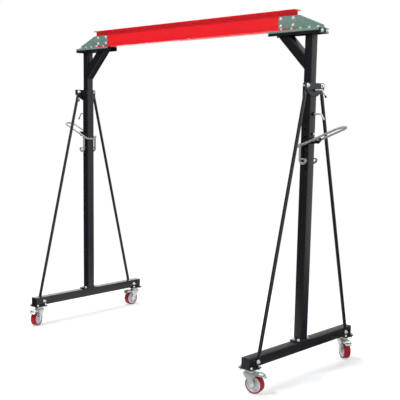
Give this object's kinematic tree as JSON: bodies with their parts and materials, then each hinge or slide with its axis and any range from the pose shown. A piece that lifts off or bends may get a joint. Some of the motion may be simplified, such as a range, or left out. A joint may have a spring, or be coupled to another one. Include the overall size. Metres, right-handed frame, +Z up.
{
  "type": "portable gantry crane",
  "caption": "Steel I-beam carried by two telescoping A-shaped side frames on braked swivel casters, with clamp screws and lifting levers to set its height.",
  "frame": {"origin": "on the floor, under the middle of the beam and midway between the four casters' swivel axes", "axes": "+X along the beam, +Y along the base tubes, +Z up"},
  "size_m": [2.9532, 1.3319, 2.5567],
  "materials": {
    "black_paint": "black powder coat",
    "red_paint": "signal red paint",
    "gusset_paint": "grey-green zinc primer",
    "zinc": "bright zinc plate",
    "core_white": "pale grey moulded wheel centre",
    "red_tread": "dark red polyurethane"
  },
  "bodies": {
    "right_frame": {"base_tube_right": "black_paint", "outer_post_right": "black_paint", "brace_right_near": "black_paint", "brace_right_far": "black_paint", "lever_bracket_right": "black_paint", "caster_plate_right_near": "zinc", "caster_plate_right_far": "zinc"},
    "left_frame": {"base_tube_left": "black_paint", "outer_post_left": "black_paint", "brace_left_near": "black_paint", "brace_left_far": "black_paint", "lever_bracket_left": "black_paint", "caster_plate_left_near": "zinc", "caster_plate_left_far": "zinc"},
    "head": {"beam": "red_paint", "inner_post_right": "black_paint", "strut_right": "black_paint", "saddle_angle_right_near": "black_paint", "gusset_right_near": "gusset_paint", "saddle_angle_right_far": "black_paint", "gusset_right_far": "gusset_paint", "inner_post_left": "black_paint", "strut_left": "black_paint", "saddle_angle_left_near": "black_paint", "gusset_left_near": "gusset_paint", "saddle_angle_left_far": "black_paint", "gusset_left_far": "gusset_paint"},
    "lever_right": {"lift_lever_right": "zinc"},
    "links_right": {"lift_link_right_near": "zinc", "lift_link_right_far": "zinc"},
    "index_bolt_right": {"index_bolt_right": "zinc"},
    "clamp_right_upper": {"clamp_screw_right_upper": "zinc"},
    "clamp_right_lower": {"clamp_screw_right_lower": "zinc"},
    "swivel_right_near": {"caster_fork_right_near": "zinc", "caster_axle_right_near": "zinc"},
    "wheel_right_near": {"wheel_core_right_near": "core_white", "wheel_tread_right_near": "red_tread"},
    "pedal_right_near": {"brake_pedal_right_near": "zinc"},
    "swivel_right_far": {"caster_fork_right_far": "zinc", "caster_axle_right_far": "zinc"},
    "wheel_right_far": {"wheel_core_right_far": "core_white", "wheel_tread_right_far": "red_tread"},
    "pedal_right_far": {"brake_pedal_right_far": "zinc"},
    "lever_left": {"lift_lever_left": "zinc"},
    "links_left": {"lift_link_left_near": "zinc", "lift_link_left_far": "zinc"},
    "index_bolt_left": {"index_bolt_left": "zinc"},
    "clamp_left_upper": {"clamp_screw_left_upper": "zinc"},
    "clamp_left_lower": {"clamp_screw_left_lower": "zinc"},
    "swivel_left_near": {"caster_fork_left_near": "zinc", "caster_axle_left_near": "zinc"},
    "wheel_left_near": {"wheel_core_left_near": "core_white", "wheel_tread_left_near": "red_tread"},
    "pedal_left_near": {"brake_pedal_left_near": "zinc"},
    "swivel_left_far": {"caster_fork_left_far": "zinc", "caster_axle_left_far": "zinc"},
    "wheel_left_far": {"wheel_core_left_far": "core_white", "wheel_tread_left_far": "red_tread"},
    "pedal_left_far": {"brake_pedal_left_far": "zinc"}
  },
  "joints": [
    {"name": "height_slide", "type": "slide", "parent": "right_frame", "child": "head", "axis": [0, 0, 1], "range_m": [0, 0.561]},
    {"name": "left_height_slide", "type": "slide", "parent": "head", "child": "left_frame", "axis": [0, 0, -1], "range_m": [0, 0.561]},
    {"name": "lever_right_pivot", "type": "hinge", "parent": "right_frame", "child": "lever_right", "pos_m": [1.2525, 0, 1.6726], "axis": [0, 1, 0], "range_deg": [0, 45]},
    {"name": "links_right_pivot", "type": "hinge", "parent": "lever_right", "child": "links_right", "pos_m": [1.16455, 0, 1.63617], "axis": [0, 1, 0], "range_deg": [-45, 0]},
    {"name": "index_bolt_right_slide", "type": "slide", "parent": "right_frame", "child": "index_bolt_right", "axis": [1, 0, 0], "range_m": [0, 0.013], "stiffness_N_per_m": 400},
    {"name": "clamp_right_upper_turn", "type": "hinge", "parent": "right_frame", "child": "clamp_right_upper", "pos_m": [1.281, 0, 2.0086], "axis": [1, 0, 0], "range_deg": [0, 360]},
    {"name": "clamp_right_lower_turn", "type": "hinge", "parent": "right_frame", "child": "clamp_right_lower", "pos_m": [1.281, 0, 1.8476], "axis": [1, 0, 0], "range_deg": [0, 360]},
    {"name": "swivel_right_near_turn", "type": "hinge", "parent": "right_frame", "child": "swivel_right_near", "pos_m": [1.18, -0.575, 0.15], "axis": [0, 0, 1], "continuous": true},
    {"name": "wheel_right_near_roll", "type": "hinge", "parent": "swivel_right_near", "child": "wheel_right_near", "pos_m": [1.21939, -0.56805, 0.0625], "axis": [-0.1736, 0.9848, 0], "continuous": true},
    {"name": "pedal_right_near_press", "type": "hinge", "parent": "swivel_right_near", "child": "pedal_right_near", "pos_m": [1.22924, -0.56632, 0.132], "axis": [-0.1736, 0.9848, 0], "range_deg": [0, 6]},
    {"name": "swivel_right_far_turn", "type": "hinge", "parent": "right_frame", "child": "swivel_right_far", "pos_m": [1.18, 0.575, 0.15], "axis": [0, 0, 1], "continuous": true},
    {"name": "wheel_right_far_roll", "type": "hinge", "parent": "swivel_right_far", "child": "wheel_right_far", "pos_m": [1.21195, 0.55093, 0.0625], "axis": [0.6018, 0.7986, 0], "continuous": true},
    {"name": "pedal_right_far_press", "type": "hinge", "parent": "swivel_right_far", "child": "pedal_right_far", "pos_m": [1.21993, 0.54491, 0.132], "axis": [0.6018, 0.7986, 0], "range_deg": [0, 6]},
    {"name": "lever_left_pivot", "type": "hinge", "parent": "left_frame", "child": "lever_left", "pos_m": [-1.2525, 0, 1.6726], "axis": [0, -1, 0], "range_deg": [0, 45]},
    {"name": "links_left_pivot", "type": "hinge", "parent": "lever_left", "child": "links_left", "pos_m": [-1.16455, 0, 1.63617], "axis": [0, -1, 0], "range_deg": [-45, 0]},
    {"name": "index_bolt_left_slide", "type": "slide", "parent": "left_frame", "child": "index_bolt_left", "axis": [-1, 0, 0], "range_m": [0, 0.013], "stiffness_N_per_m": 400},
    {"name": "clamp_left_upper_turn", "type": "hinge", "parent": "left_frame", "child": "clamp_left_upper", "pos_m": [-1.281, 0, 2.0086], "axis": [-1, 0, 0], "range_deg": [0, 360]},
    {"name": "clamp_left_lower_turn", "type": "hinge", "parent": "left_frame", "child": "clamp_left_lower", "pos_m": [-1.281, 0, 1.8476], "axis": [-1, 0, 0], "range_deg": [0, 360]},
    {"name": "swivel_left_near_turn", "type": "hinge", "parent": "left_frame", "child": "swivel_left_near", "pos_m": [-1.18, -0.575, 0.15], "axis": [0, 0, 1], "continuous": true},
    {"name": "wheel_left_near_roll", "type": "hinge", "parent": "swivel_left_near", "child": "wheel_left_near", "pos_m": [-1.16373, -0.61154, 0.0625], "axis": [0.9135, 0.4067, 0], "continuous": true},
    {"name": "pedal_left_near_press", "type": "hinge", "parent": "swivel_left_near", "child": "pedal_left_near", "pos_m": [-1.15966, -0.62068, 0.132], "axis": [0.9135, 0.4067, 0], "range_deg": [0, 6]},
    {"name": "swivel_left_far_turn", "type": "hinge", "parent": "left_frame", "child": "swivel_left_far", "pos_m": [-1.18, 0.575, 0.15], "axis": [0, 0, 1], "continuous": true},
    {"name": "wheel_left_far_roll", "type": "hinge", "parent": "swivel_left_far", "child": "wheel_left_far", "pos_m": [-1.1807, 0.53501, 0.0625], "axis": [0.9998, -0.0175, 0], "continuous": true},
    {"name": "pedal_left_far_press", "type": "hinge", "parent": "swivel_left_far", "child": "pedal_left_far", "pos_m": [-1.18087, 0.52501, 0.132], "axis": [0.9998, -0.0175, 0], "range_deg": [0, 6]}
  ],
  "couplings": [
    {"joint": "left_height_slide", "follows": "height_slide", "ratio": 1},
    {"joint": "links_right_pivot", "follows": "lever_right_pivot", "ratio": -1},
    {"joint": "links_left_pivot", "follows": "lever_left_pivot", "ratio": -1}
  ]
}
